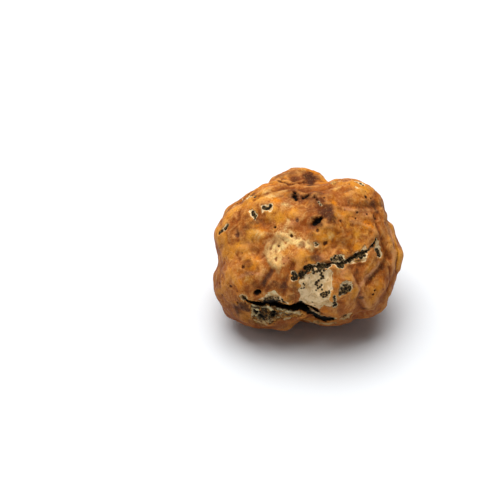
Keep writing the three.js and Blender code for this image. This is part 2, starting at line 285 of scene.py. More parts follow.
            (9.8, 2, 3, 2.6, 12, 0.12, 0.35), (-12, -8, 3, 3, 12, 0.12, 0.35), (2, 2, 5, 3, 6, 0.2, 0.4)],
        "right": [(6.2, -12.6, 2.6, 2.2, 8, 0.12, 0.35), (9, 3, 6, 3, 5, 0.2, 0.4)],
        "left": [(-12, -6, 2.6, 2.4, 8, 0.12, 0.35), (-8, 9, 5, 3, 5, 0.2, 0.4)],
    },
    "strokes": {  # colour along a line: tint, half width, strength, line
        "front": [
            # the first two umber strokes are painted shade, in furrows under overhanging lobes
            ("umber", 1.0, 0.6, [(26, -4), (24.6, -5.8), (22.8, -8), (21.4, -9.6)]),
            ("umber", 1.2, 0.5, [(14, 15), (16, 14.3), (19.4, 14.1), (23.6, 14.6)]),
            ("umber", 0.5, 0.7, [(-10, 22.4), (-7.5, 21.9), (-5.1, 21.5), (-3, 21.9), (-1, 22.1)]),
            ("umber", 0.8, 0.85, [(-1, 22), (1, 21.8), (3.4, 21.7)]),
            ("umber", 0.9, 0.6, [(6.3, 14.6), (6.7, 12.6), (7.6, 10.6), (9, 9.2)]),
            ("slate", 0.9, 0.8, [(-12, -7.6), (-13.4, -9.8), (-14.7, -11.8)]),
            ("slate", 0.8, 0.55, [(-6.3, -9), (-7, -11), (-7.6, -13.4)]),
            ("gold", 2.0, 0.6, [(-27, 9), (-24, 13), (-19, 16), (-13, 18.6), (-7, 20)]),
            ("cream", 0.5, 0.85, [(-12.8, -19.2), (-12, -19.8), (-11.6, -20.6), (-10.8, -21.4),
                                  (-10.9, -22.2)]),
            ("cream", 0.4, 0.75, [(-17.6, -19.6), (-18.1, -20.6), (-17.6, -21.8), (-16.4, -22),
                                  (-15.8, -21), (-16.4, -19.8)]),
            ("cream", 0.7, 0.42, [(-17.4, -23.4), (-16, -24.4), (-14, -24.2), (-12, -23.8), (-9.4, -23)]),
            ("cream", 0.9, 0.42, [(-9.4, -20.4), (-7, -20.2), (-4.6, -20.6), (-2.4, -21)]),
            ("cream", 0.4, 0.4, [(-18.4, -18.2), (-16.4, -18.9), (-14.6, -19), (-13, -19.2)]),
            ("murk", 0.5, 0.9, [(-9.4, -21.6), (-8, -21.2), (-6.4, -21.8), (-5, -21.2)]),
            ("pale", 1.2, 0.75, [(-12.6, 1.8), (-13, -1.4), (-12.3, -3.3), (-10.7, -5)]),
            ("pale", 1.0, 0.7, [(-9.4, -0.2), (-9, -3.3), (-9.3, -5.6), (-9.6, -7.4)]),
            ("pale", 1.2, 0.75, [(-9.4, 4.6), (-5, 3), (-1, 2), (1.6, 0.6)]),
            ("pale", 0.7, 0.4, [(-7.6, 5), (-7, 7.4), (-6, 9.4)]),
            ("pale", 0.7, 0.4, [(-10.6, 4.6), (-13.4, 5.4), (-15.6, 5)]),
            ("drab", 1.6, 0.5, [(25.6, 13), (26.4, 8), (27.4, 3), (29.6, -2), (28.8, -8), (27, -14),
                                (22, -19.6)]),
            ("gold", 0.8, 0.6, [(28.4, 5), (29.4, 1), (30, -3), (29.6, -7)]),
            ("blush", 1.0, 0.8, [(27.4, 6), (28.2, 2), (28.6, -3), (28, -9), (26.4, -13.6)]),
            ("blush", 0.7, 0.9, [(23.8, -4.5), (21.6, -7.4), (19.6, -9.8), (17.4, -12)]),
            ("blush", 0.7, 0.5, [(12.4, 13.4), (16, 12.8), (20, 13), (23.4, 12.6)]),
            ("blush", 0.6, 0.4, [(14, 9), (17.4, 8.6), (21, 7), (23.4, 5)]),
            ("blush", 0.6, 0.8, [(17, -13), (18, -16), (20, -19)]),
            ("blush", 0.6, 0.6, [(-22, -9), (-18, -8), (-14.6, -8.6), (-12, -10.6)]),
            ("drab", 1.8, 0.7, [(-24, -19), (-19, -23), (-13, -25.6), (-6, -25), (-2, -23.6)]),
            ("drab", 1.5, 0.8, [(-9.6, 24), (-5, 25), (1, 25.4), (4, 23.4)])],
    },
    "stains": {  # soft patches of colour: tint, then right, up, radius, strength
        "front": [
            ("umber", [
                # the patches at (22.1, 14.5), (19, 14.2) and (24.8, -5.6) are painted shade in furrows under
                # overhanging lobes; the rest are stains
                (-21.6, 16, 1.5, 0.7), (-19.8, 17.4, 1.5, 0.9), (-17.8, 17.8, 1.2, 0.7),
                (0.7, 23.6, 1.5, 1.5), (0.9, 21.8, 1.5, 1.4), (0.4, 21.4, 1.4, 1.3), (1.4, 22.2, 1.3, 1.3),
                (2.2, 21.7, 1.2, 1.2), (-7.6, 22.5, 1.5, 1.0), (-9, 22.1, 1.2, 0.7), (3.4, 9.4, 2.6, 0.85),
                (6.1, 14.3, 1.6, 0.65), (6.6, 12.4, 2.4, 1.1), (8.5, 9.5, 2.1, 0.72), (7.4, 14.2, 1.6, 0.6),
                (5, 11.2, 2, 0.65), (3.6, 15.8, 1.8, 0.75), (2.4, 17.2, 1.4, 0.75), (-4.2, 17.6, 2.2, 0.9),
                (-0.5, 17.4, 2.0, 0.85), (-5.6, 16.8, 1.4, 0.4), (0.5, 23.9, 2.0, 1.2),
                (2.2, 23.6, 1.6, 0.9), (-3.6, 22.6, 1.6, 0.5), (1, 21.7, 1.8, 0.9), (-11.4, 21.6, 1.2, 0.5),
                (22.1, 14.5, 2.0, 0.9), (19, 14.2, 1.7, 0.6), (3.5, 6.2, 0.9, 0.6), (16.6, -7.2, 1.2, 0.5),
                (-21.2, -18.4, 2.2, 1.0), (-19.4, -19.4, 1.8, 0.9), (-23, -19.4, 1.6, 0.6),
                (-22.6, -20.6, 1.6, 0.7), (24.8, -5.6, 1.8, 0.8), (0.4, 20, 2, 0.5), (4, 18.6, 2, 0.5),
                (-3, 15.4, 1.8, 0.3), (1.4, 14.6, 1.4, 0.4), (7, 19.4, 1.6, 0.3), (4.6, 8.2, 1.6, 0.7),
                (1.6, 10.4, 1.4, 0.6), (-17.6, -11.6, 1.4, 0.4), (-13, -12.6, 1.4, 0.6),
                (-10.2, -11.6, 1.6, 0.5), (-6, -16.6, 1.2, 0.5), (-24.4, -17.6, 1.6, 0.4),
                (-16.7, 9.2, 1.6, 0.6), (-15.4, 9.4, 1, 0.5), (-24.2, 7, 1.6, 0.45),
                (-22.5, 11.2, 1.2, 0.4), (-27.6, 6.4, 1.6, 0.4), (-21, -6, 1.1, 0.5), (-5, -15.8, 1.6, 0.5),
                (-3.4, -14, 1.4, 0.35), (17.6, -9.4, 1.2, 0.5), (19.2, -19.8, 1.2, 0.6),
                (16.6, -19.6, 1, 0.4), (-14.6, 1.6, 1, 0.35), (11, 9.2, 0.7, 0.6), (26.2, -9.8, 1, 0.4),
                (27, -5, 1.2, 0.4), (9.6, -17.4, 1, 0.4)]),
            ("rind", [
                # the wide strong patches over the lower lip are partly its brown rind and partly painted
                # shade, where the lip lies in shade
                (12.6, -22, 1.6, 1.2), (17, -4, 1.5, 1.1), (14.6, -4.2, 1.2, 0.8), (-8.6, -21.4, 3.2, 2.0),
                (-5.4, -21.6, 3.0, 2.0), (-3, -21.6, 2.6, 2.0), (-12, -24, 3.0, 2.0),
                (-16.6, -24, 3.0, 2.0), (-18, -19, 3.0, 2.0), (-14, -20, 3.4, 2.0), (-11, -16.4, 1.6, 0.6),
                (-21, -16, 1.4, 0.8), (-1, -23.2, 1.6, 0.7), (4, -24.2, 1.8, 0.7), (9, -24, 1.8, 0.7),
                (9, 22, 2.4, 1.0), (16.6, 21.2, 2, 0.6), (-16, -17, 1.2, 0.5), (-6.4, -18.2, 1.2, 0.7),
                (7.6, -7.6, 1.2, 0.3), (6.8, -17.6, 1.4, 0.5)]),
            ("cream", [(-6.2, -20.4, 2.2, 0.36), (-4, -21, 1.6, 0.36), (-8.2, -21.8, 1.6, 0.32),
                       (-15.4, -23.4, 2, 0.32), (-12, -23, 1.6, 0.3), (-17.6, -19.6, 1.4, 0.3),
                       (-11, -14.3, 0.8, 0.9), (-12.6, -14.8, 0.6, 0.8)]),
            ("russet", [
                (-19.5, -4.6, 1.8, 0.9), (-19.6, 7.4, 1.8, 0.5), (-11.6, 7.4, 1.6, 0.6),
                (1.4, 7.6, 1.6, 0.7), (7, 8.6, 1.8, 0.6), (14, -5.8, 1.8, 0.7), (16.8, -4.8, 1.8, 0.6),
                (22.3, -3.8, 1.4, 0.6), (-26.6, -16.6, 1.6, 0.4), (-23, -16, 1.4, 0.4),
                (1.4, 4.4, 1.6, 0.6), (-1.4, 1.6, 1.4, 0.7), (15, -5, 1.8, 0.6), (13.6, -7.6, 1.6, 0.6),
                (22.6, -13.6, 1.4, 0.4), (19.4, -13.4, 1.6, 0.5), (22.6, -5, 1.6, 0.5),
                (10.8, -20.4, 1.2, 0.4), (15.6, -16.6, 1.4, 0.4), (7.6, 10.4, 1.8, 0.6),
                (-12, -5, 1.2, 0.4), (-22.6, -1.2, 1.2, 0.3), (19.6, 16.4, 1.6, 0.5), (-6.4, 13, 1.2, 0.4),
                (-26, -13, 1.4, 0.4), (-4, 23, 3, 0.8), (0, 24, 3, 0.9), (1.5, 22.5, 2.6, 1.0),
                (-4.5, 19.5, 2.4, 0.9), (-1.5, 19.5, 2.4, 0.7), (1.5, 19, 2.4, 0.8), (4.5, 18.5, 2.2, 0.6),
                (-1.5, 16.5, 2.4, 0.9), (1.5, 16, 2, 0.6), (4.5, 16, 2.4, 0.8), (7.5, 17, 2, 0.6),
                (1.5, 13.5, 2.2, 0.6), (4.8, 13.5, 2.4, 0.9), (7.5, 13, 2.2, 0.7), (-1.5, 13.5, 1.8, 0.4),
                (7.5, 10.5, 2.2, 0.8), (5, 10.4, 2, 0.5), (7, 7.6, 1.8, 0.4), (13.5, 19.5, 2.2, 0.8),
                (10.5, 19.5, 1.8, 0.5), (13.5, 16.5, 2, 0.5), (-19.5, 10.5, 2, 0.5), (-22.5, 4.5, 1.8, 0.6),
                (-10.5, 7.2, 1.6, 0.4), (-13.5, 1.5, 1.2, 0.4), (1.5, 1.5, 1.4, 0.4),
                (10.5, -1.5, 1.8, 0.7), (13.5, -4.8, 1.8, 0.6), (16.5, -7.5, 2.2, 0.7),
                (19.5, -4.5, 2, 0.4), (22.5, -4.5, 2, 0.4), (22.5, -10.5, 2, 0.4), (-4.5, -7.5, 1.8, 0.6),
                (-1.5, -7.3, 1.8, 0.8), (-19.5, -4.6, 1.6, 0.6), (-1.6, 0.4, 1.2, 0.4), (4, -4.4, 1.8, 0.6),
                (8, -4.6, 1.6, 0.6), (-4.5, -10.5, 2, 0.6), (-19.5, -13.5, 1.8, 0.5),
                (-13.5, -13.5, 2, 0.7), (-10.5, -12.6, 2, 0.5), (-7.5, -13.5, 2, 0.5),
                (-16.5, -16, 1.4, 0.6), (-22.5, -19.5, 2.4, 0.8), (-25.5, -19.5, 2, 0.5),
                (-24, -22, 2, 0.5), (-19.5, -7.5, 2, 0.5), (25.5, -7.5, 2, 0.5), (-22.6, -13.5, 1.6, 0.3),
                (25.5, 13.5, 2, 0.8), (21.6, 15.2, 2, 0.5), (10.6, 13.4, 1.6, 0.3), (17, 9.4, 1.4, 0.4),
                (-2, 8, 1.4, 0.3)]),
            ("murk", [
                (-4.2, -8.9, 1.6, 1.3), (-2, -8.1, 1.6, 1.3), (0.4, -6.3, 1.4, 0.7), (-26.4, 7.6, 1.2, 1.0),
                (-28.1, 5.6, 1.4, 1.0), (13, -21.9, 1.2, 0.8), (-13.4, -16.8, 1.5, 1.0),
                (-7.6, -17.6, 1.2, 0.8), (-7.4, -19.8, 1.3, 0.8), (-27.2, 6.6, 1.4, 0.6),
                (-14.6, -22.6, 2.2, 0.9), (-20.9, -16, 0.9, 1.0), (-12.4, -18.8, 1.8, 0.9),
                (-15.6, -21.6, 2.8, 1.0), (-13.6, -19.6, 2.2, 1.0), (-11.3, -21.6, 2.2, 1.0),
                (-17, -19, 1.8, 1.0), (-9.4, -20, 1.6, 0.9), (-6.4, -20.4, 1.2, 0.7),
                (-7.6, -21.8, 1.1, 0.55), (-5, -21.6, 1.0, 0.45), (-12.8, -23.4, 1.7, 0.8),
                (-9.6, -22.8, 1.1, 0.6), (-18.4, -17.2, 1.2, 0.9), (-12.2, -16.9, 1.8, 1.0),
                (-9.6, -17.3, 1.4, 0.9), (12.4, -14, 2.0, 1.0), (13.8, -12.9, 1.4, 0.9),
                (11.2, -14.6, 1.2, 1.0), (12.8, -12.2, 1.6, 0.8), (10, -3, 1.6, 0.4),
                (23.6, -0.6, 1.1, 0.7), (22.8, 1.6, 1.0, 0.6), (9.2, -17.6, 0.9, 0.6),
                (13, -21.9, 0.8, 0.4), (-21, -15.9, 0.8, 0.6)]),
            ("slate", [
                (0.7, 23.6, 1.3, 0.9), (0.9, 21.8, 1.1, 0.8), (-22.9, -18.5, 1.0, 0.5),
                (1.8, -2.8, 1.2, 0.85), (2.7, -2.8, 1.4, 0.95), (3.7, -2.9, 1.1, 0.85),
                (-7.5, -12.4, 1.5, 0.9), (-6.6, -10.2, 1.2, 0.55), (-12.4, -8.4, 1.2, 0.4),
                (-23, 4.6, 0.9, 0.8), (-23.2, 6, 0.8, 0.5), (-3.3, 9.5, 0.8, 0.5), (-8, 15, 0.6, 0.55),
                (16.5, 22.8, 1.6, 0.8), (18, 22.2, 1.2, 0.7), (18, -16.4, 1.1, 0.7), (23.6, 4, 1.1, 0.4),
                (-9, -14.2, 1.2, 0.4), (16, -10.4, 0.9, 0.4)]),
            ("pale", [
                (-8.8, 19.4, 2.2, 0.6), (-10.4, 1.4, 2.4, 1.0), (-11.6, 2.8, 1.6, 0.7), (12.2, 1.6, 2, 0.5),
                (7.8, 4.4, 1.6, 0.5), (-16.4, 4.8, 2, 0.45), (-4.6, 2.6, 1.8, 0.5), (-12.4, 17.8, 2.2, 0.6),
                (-8.4, 17.4, 1.8, 0.5), (-11.4, 0.4, 2.2, 0.8), (-8.6, 4, 2.2, 0.95), (-5.4, 3, 2, 0.9),
                (-2.6, 2.2, 1.8, 0.85), (-10.6, -2.2, 1.8, 0.75), (-7.8, 0.8, 1.6, 0.6),
                (0.2, 0.6, 1.4, 0.75), (-8.8, -5, 1.4, 0.5), (-10, 18.6, 2.6, 0.45), (-13, 18.8, 2.2, 0.45),
                (-8, 19.6, 1.8, 0.8), (-7, 15, 1.8, 0.6), (-9, 1.4, 1.8, 1.2), (-16, 4.6, 1.6, 0.5),
                (-19.6, -10.4, 1.4, 0.5), (-13.9, -7.2, 1.2, 0.5), (9, 20, 2, 0.3), (17.4, 19.4, 1.4, 0.5),
                (-5, 5, 1.4, 0.6)]),
            ("gold", [
                (-10, 17.6, 2.6, 0.9), (-12, 18.6, 2, 0.5), (-7, 18.4, 2, 0.8), (-9, 19.4, 2.8, 1.0),
                (12, 1.4, 2.6, 1.0), (-16, 4.6, 2.6, 1.0), (-15, 4.6, 2.0, 0.9), (9, 4.4, 2.0, 1.0),
                (-20, 17, 2, 0.6), (-18, 4.6, 2.4, 0.9), (-1.6, -1.6, 1.8, 0.8), (7.6, 4.4, 1.8, 0.9),
                (-9, 10.5, 2.2, 0.8), (-19.5, -10.4, 1.6, 0.8), (16.5, 4.6, 1.8, 0.7), (-22.4, 1.4, 2, 0.6),
                (13.6, 7.6, 1.6, 0.6), (-11, 13.4, 2, 0.7), (10.6, 4, 1.6, 0.7), (8, -10, 1.4, 0.4),
                (-4.6, 1.6, 1.6, 0.4), (13.4, 1.8, 1.4, 0.5), (19.6, 19.4, 1.6, 0.6),
                (-19.4, -22.4, 1.4, 0.6), (-24, 13, 3, 0.8), (-20, 15.5, 3, 0.9), (-15.5, 17, 3, 0.8),
                (-11, 19, 2.6, 0.8), (-18, 12, 2.5, 0.6), (-12.4, 10.6, 2.4, 0.5), (-5, 12, 2, 0.5),
                (-22, 8.6, 2, 0.4), (9.6, 19.6, 2, 0.5), (12.6, 17.4, 2, 0.4), (19.6, 5.6, 1.8, 0.5),
                (-26.6, 9, 1.6, 0.5), (-7, -1, 2, 0.4), (-25, -3, 1.6, 0.4), (-24, -9, 1.4, 0.35),
                (16, 6, 1.6, 0.5), (5, 0, 1.5, 0.4), (7.4, 5.6, 1.5, 0.4), (-13, -7, 1.4, 0.3),
                (13, -9, 1.2, 0.3)]),
            ("honey", [
                (-9.6, 16.2, 2.2, 0.8), (-12.4, 16.7, 1.4, 0.6), (-20, 14, 1.6, 0.5),
                (-17.8, 14.8, 1.4, 0.5), (-15.7, 7.3, 1.6, 0.9), (-13.6, 6.2, 1.6, 0.5),
                (-7, 12.4, 1.8, 0.5), (-26, 11, 1.4, 0.6), (8.6, 3, 2, 0.7), (10, 6, 1.8, 0.7),
                (5, 6.6, 1.4, 0.6), (14, 5, 1.6, 0.5), (-18.4, -5.6, 1.8, 0.9), (-16.2, -3, 2, 0.7),
                (-19.6, -3.2, 1.4, 0.5), (-22, -11.8, 2, 0.8), (-22.8, -14.4, 1.2, 0.5),
                (8.3, 15.3, 1.6, 1.0), (8.2, 17.4, 1.2, 0.6), (12.9, 19.8, 1.6, 0.7),
                (11.9, 10.9, 1.5, 0.7), (11.6, 8, 1.2, 0.5), (20.2, 8.2, 1.8, 1.3), (21.4, 7.2, 1, 0.6),
                (13.9, 2.2, 1.7, 1.3), (12.2, 1.4, 1.8, 1.4), (12.4, 0.6, 1.4, 0.7), (16, 0.6, 1.4, 0.8),
                (10.4, 1.4, 1.2, 0.4), (1.8, 5.6, 1.2, 0.6), (0.2, 6.6, 1, 0.5), (4.8, 4, 1.5, 0.7),
                (5.8, 1, 1.2, 0.5), (25, -9.8, 1.4, 0.8), (23.4, -12.8, 1.9, 0.8), (24.4, -15, 1.4, 0.6),
                (5.4, -20, 1.5, 1.5), (9.6, -12.4, 0.9, 0.6), (8.2, -16.8, 0.8, 0.7),
                (12.4, -17.4, 1.7, 0.5), (13, -20, 1.4, 0.4), (19.8, -5, 1.2, 0.5), (20.6, -2.6, 1, 0.5),
                (16.4, 15.6, 1.6, 0.5), (-3.2, -21.2, 0.5, 0.7)]),
            ("blush", [(15.6, -10, 2.4, 0.7), (12.8, -7.6, 2.2, 0.7), (17.6, -15, 2, 0.6),
                       (4.4, -2.6, 2, 0.4), (-4, 9, 2.4, 0.5), (-14.6, -2, 2, 0.5), (-20.6, 1.4, 2, 0.5),
                       (19.6, 12, 2, 0.5), (12, 9.6, 1.8, 0.4), (-6.6, -4, 2, 0.5), (22.8, -17.6, 1.8, 0.5),
                       (-25, -10, 2, 0.4), (-9, -12, 1.8, 0.3)]),
            ("drab", [(-28.4, -6, 2.6, 0.6), (-28.6, -13, 2.6, 0.6), (-20, 4.5, 3.0, 0.55),
                      (-26, 4, 2.6, 0.5), (-10, -9.6, 3, 0.55), (-4, -12.6, 3, 0.6), (-6, 7, 2.4, 0.4),
                      (20, -8, 2, 0.6), (16, -13, 2.6, 0.55), (18, 12, 2.6, 0.5), (12, 13, 2.4, 0.4),
                      (24.5, 15, 2.2, 0.6), (13, -7, 2.4, 0.4), (-2, 12, 2.4, 0.35)])],
        "back": [
            ("umber", [(-10, 4, 2.6, 0.9), (-4, -2, 2.4, 0.5), (5, -8, 2.4, 0.7), (14, 3, 2.6, 0.5),
                       (-16, -3, 2.4, 0.4)]),
            ("slate", [(7, 3, 2.0, 0.5), (-18, 4, 2.0, 0.5), (2, -14, 2.0, 0.4)]),
            ("pale", [(-5, 1, 2.8, 0.7), (4, -1, 2.4, 0.5), (-12, -2, 2.2, 0.4), (12, -10, 2.2, 0.4)]),
            ("honey", [(-2, 8, 3, 0.7), (-16, 4, 3, 0.6), (10, -5, 3, 0.7), (-10, -13, 3, 0.6),
                       (18, 3, 3, 0.6), (1, -7, 2.4, 0.5)]),
            ("drab", [(-20, -8, 5, 0.7), (-8, -17, 5, 0.7), (8, -15, 5, 0.7), (20, -6, 5, 0.6),
                      (0, -4, 3, 0.5), (-14, 6, 3, 0.5)])],
        "right": [
            ("umber", [(12, 7, 2.4, 0.8), (4, -8, 2.4, 0.5), (13, -12, 2.4, 0.5), (8, 0, 1.8, 0.4)]),
            ("pale", [(6, 5, 2.2, 0.5), (12, -8, 2.2, 0.4)]),
            ("honey", [(10, 10, 3, 0.6), (10, -6, 3, 0.7), (3, 1, 2.4, 0.5), (17, 0, 2.4, 0.5)]),
            ("drab", [(2, -18, 5, 0.7), (12, -12, 4, 0.6), (4, 6, 3, 0.5)])],
        "left": [
            ("umber", [(-12, 7, 2.4, 0.8), (-4, -10, 2.4, 0.6), (-8, 0, 2.0, 0.4), (-16, -3, 2.4, 0.4)]),
            ("pale", [(-6, 4, 2.6, 0.6), (-9, -13, 2.4, 0.4), (-17, 3, 2.0, 0.4)]),
            ("honey", [(-8, 11, 3, 0.7), (-12, 1, 3, 0.6), (-2, -5, 3, 0.6), (-14, -11, 3, 0.5)]),
            ("drab", [(-12, -12, 5, 0.7), (-2, -18, 5, 0.7), (-4, 5, 3, 0.5)])],
        "top": [("honey", [(6, 12, 4, 0.5), (-14, 10, 4, 0.6), (16, 4, 3, 0.4)])],
    },
}
tints = ["umber", "russet", "slate", "pale", "gold", "honey", "blush", "drab", "rind", "murk", "cream"]


def marks(kind):  # every mark of one kind, with the view it is listed under
    for view, group in truffle[kind].items():
        for mark in group:
            yield view, mark


def smoothStep(low, high, value):
    share = min(max((value - low) / (high - low), 0), 1)
    return share * share * (3 - 2 * share)


def uneven(place, size, amount):  # up to the amount either way, in bumps of the size, in mm
    return amount * noise.noise(place / size)


def curveThrough(points, step):  # a smooth line through given points, as points one step apart
    points = [Vector(point) for point in points]
    curve = []
    for i in range(len(points) - 1):
        start, end = points[i], points[i + 1]
        before, after = points[max(i - 1, 0)], points[min(i + 2, len(points) - 1)]
        count = max(round((end - start).length / step), 1)
        for j in range(count):
            t = j / count
            curve.append(0.5 * (
                2 * start + (end - before) * t + (2 * before - 5 * start + 4 * end - after) * t ** 2
                + (3 * start - before - 3 * end + after) * t ** 3))
    curve.append(points[-1])
    return curve


def distanceToOutline(point, outline):  # negative inside
    nearest = float("inf")
    inside = False
    for i in range(len(outline)):
        start, end = outline[i - 1], outline[i]
        along = end - start
        share = min(max((point - start).dot(along) / along.length_squared, 0), 1)
        nearest = min(nearest, (point - start - along * share).length)
        if (start.y > point.y) != (end.y > point.y):
            if point.x < start.x + along.x * (point.y - start.y) / along.y:
                inside = not inside
    return -nearest if inside else nearest


def fineSkin(solid):  # the solid's own surface, in even small faces, in millimetres
    bm = bmesh.new()
    bm.from_mesh(solid.data)
    bmesh.ops.remove_doubles(bm, verts=bm.verts, dist=0.001 * mm)
    bmesh.ops.scale(bm, vec=Vector((1, 1, 1)) / mm, verts=bm.verts)
    rough = bpy.data.meshes.new("rough")
    bm.to_mesh(rough)
    bm.free()
    helper = bpy.data.objects.new("helper", rough)
    bpy.context.collection.objects.link(helper)
    remesh = helper.modifiers.new("remesh", "REMESH")
    remesh.mode = "VOXEL"
    remesh.voxel_size = truffle["spacing"]
    smooth = helper.modifiers.new("smooth", "SMOOTH")
    smooth.factor = 0.5
    smooth.iterations = truffle["rounding"]
    bm = bmesh.new()
    bm.from_object(helper, bpy.context.evaluated_depsgraph_get())
    bpy.data.objects.remove(helper)
    bpy.data.meshes.remove(rough)
    return bm


class Carver:  # the fine skin, with what every mark does to each of its points
    def __init__(self, bm):
        self.bm = bm
        self.tree = BVHTree.FromBMesh(bm)
        self.renew()

    def renew(self):  # after faces are added
        self.bm.verts.ensure_lookup_table()
        self.bm.verts.index_update()
        self.bm.normal_update()
        self.places = [vert.co.copy() for vert in self.bm.verts]
        self.normals = [vert.normal.copy() for vert in self.bm.verts]
        self.near = KDTree(len(self.places))
        for i, place in enumerate(self.places):
            self.near.insert(place, i)
        self.near.balance()
        self.relief = [0.0] * len(self.places)  # mm outwards
        self.push = {}  # moves in any direction
        names = tints + ["swell", "vein", "hollow", "shade", "black"]
        self.layers = {name: [0.0] * len(self.places) for name in names}
        self.layers["peel"] = [2.0] * len(self.places)  # mm outside the edge of the bare flesh
        self.layers["grain"] = [2.0] * len(self.places)  # mm outside the edge of a dark grain
        self.seen = {}  # where each view shows the points, worked out once

    def find(self, view, place):  # the point of the skin that a view shows at a place
        right, up = viewAxes(views[view])[:2]
        target = bodyMiddle + right * place[0] + up * place[1]
        eye = eyePoint(views[view])
        hit = self.tree.ray_cast(eye, (target - eye).normalized())[0]
        return hit or self.tree.find_nearest(target)[0]

    def findLine(self, view, line, step=0.35):
        return [self.find(view, place) for place in curveThrough(line, step)]

    def onView(self, view):  # where a view shows each point, and whether the point faces it
        if view not in self.seen:
            right, up, towardsEye = viewAxes(views[view])
            eye = eyePoint(views[view])
            shown = []
            for place, normal in zip(self.places, self.normals):
                ray = place - eye
                flat = eye + ray * ((bodyMiddle - eye).dot(towardsEye) / ray.dot(towardsEye)) - bodyMiddle
                shown.append((Vector((flat.dot(right), flat.dot(up))), -ray.normalized().dot(normal)))
            self.seen[view] = shown
        return self.seen[view]

    def nearOutline(self, view, outline, reach):  # points that face the view, and how far out they are
        turnedAway = 0.05  # a point that faces the view less than this takes no mark
        outline = [Vector(point) for point in outline]
        left, right = min(point.x for point in outline) - reach, max(point.x for point in outline) + reach
        low, high = min(point.y for point in outline) - reach, max(point.y for point in outline) + reach
        for i, (place, facing) in enumerate(self.onView(view)):
            if facing > turnedAway and left < place.x < right and low < place.y < high:
                yield i, distanceToOutline(place, outline)

    def nearMouth(self):  # mm outside the edge of the dark opening, as its view shows it
        mouth = truffle["mouth"]
        line = curveThrough(mouth["line"], 0.3)
        reach, margin = 1, 3  # mm from the edge that still counts, and more than that from the line
        left, right = line[0].x - margin, line[-1].x + margin
        low, high = min(point.y for point in line) - margin, max(point.y for point in line) + margin
        towardsEye = viewAxes(views[mouth["view"]])[2]
        for i, (shown, facing) in enumerate(self.onView(mouth["view"])):
            onNearSide = (self.places[i] - bodyMiddle).dot(towardsEye) > 0
            if onNearSide and left < shown.x < right and low < shown.y < high:
                edge = min((shown - point.xy).length - point.z for point in line)
                if edge < reach:
                    yield i, edge

    def nearLine(self, line, reach):
        nearest = {}
        for place in line:
            for found, i, distance in self.near.find_range(place, reach):
                if distance < nearest.get(i, reach):
                    nearest[i] = distance
        return nearest.items()

    def nearPoint(self, place, reach):
        return [(i, distance) for found, i, distance in self.near.find_range(place, reach)]

    def lower(self, layer, i, value):
        if value < self.layers[layer][i]:
            self.layers[layer][i] = value

    def deepen(self, layer, i, value):
        if value > self.layers[layer][i]:
            self.layers[layer][i] = value


def placeGrains(carver):  # the middle and radius of every dark grain
    chance = random.Random(truffle["grainSeed"])
    step, spread = 0.45, 1.1  # mm between the grains of a crack, and how many half widths they stray
    smallest, largest = 0.6, 1.15  # shares of a crack's grain radius
    kernels = [(carver.find(view, (right, up)), radius) for view, (right, up, radius) in marks("grains")]
    for view, (deep, width, radius, line) in marks("seams"):
        for place in carver.findLine(view, line, step):
            aside = Vector([chance.uniform(-1, 1) for axis in range(3)]) * width * spread
            kernels.append((place + aside, radius * chance.uniform(smallest, largest)))
    for view, (right, up, halfWidth, halfHeight, count, least, most) in marks("grit"):
        for turn in range(count):
            angle, share = chance.uniform(0, 2 * pi), chance.random() ** 0.5  # the root spreads them evenly
            place = right + halfWidth * share * cos(angle), up + halfHeight * share * sin(angle)
            kernels.append((carver.find(view, place), chance.uniform(least, most)))
    return kernels


def refineMarks(carver, kernels):  # smaller faces where the small marks are
    finer = truffle["finer"]
    wanted = set(i for i, edge in carver.nearMouth() if abs(edge) < finer["mouth"])
    for view, (tint, pits) in marks("pits"):
        for right, up, radius, deep in pits:
            for i, distance in carver.nearPoint(carver.find(view, (right, up)), radius + finer["pits"]):
                wanted.add(i)
    for place, radius in kernels:
        for i, distance in carver.nearPoint(place, radius + finer["grains"]):
            wanted.add(i)
    for view, outline in marks("peels"):
        for i, distance in carver.nearOutline(view, outline, finer["peels"]):
            if abs(distance) < finer["peels"]:
                wanted.add(i)
    edges = [edge for edge in carver.bm.edges if all(vert.index in wanted for vert in edge.verts)]
    bmesh.ops.subdivide_edges(carver.bm, edges=edges, cuts=1, use_grid_fill=True, smooth=0.0)
    carver.renew()


def carveSkin(carver):  # lumps, veins, wrinkles and pimples all over
    lump, vein, wrinkle, pimple = truffle["lump"], truffle["vein"], truffle["wrinkle"], truffle["pimple"]
    wander = truffle["wander"]
    for i, place in enumerate(carver.places):
        drift = noise.noise_vector(place / wander["size"]) * wander["reach"]
        swell = noise.noise(place / lump["size"]) + 0.5 * noise.noise(place / lump["size"] * 2.1)
        nearest = noise.voronoi((place + drift) / vein["size"])[0]
        crease = nearest[1] - nearest[0]  # nothing halfway between two cells, where a vein runs
        # veins and wrinkles each come and go over some 10 mm, and the added vectors keep the two apart
        veined = smoothStep(-0.25, 0.35, noise.noise(place / 9 + Vector((7, 3, 1))))
        raised = (1 - smoothStep(0, vein["width"], crease)) * veined
        stretched = Vector((place.x, place.y, place.z * 0.55)) + drift * 0.5  # wrinkles run up and down
        folds = 1 - abs(noise.noise(stretched / wrinkle["size"])) * 2.4
        wrinkled = smoothStep(-0.3, 0.3, noise.noise(place / 11 - Vector((5, 5, 5))))
        carver.relief[i] += (
            swell * lump["height"] + raised * vein["height"]
            + folds * wrinkle["height"] * (0.35 + 0.65 * wrinkled)
            + noise.noise(place / pimple["size"]) * pimple["height"])
        carver.layers["swell"][i] = swell
        carver.layers["vein"][i] = max(raised, 0.6 * smoothStep(0.55, 1.0, folds) * wrinkled)


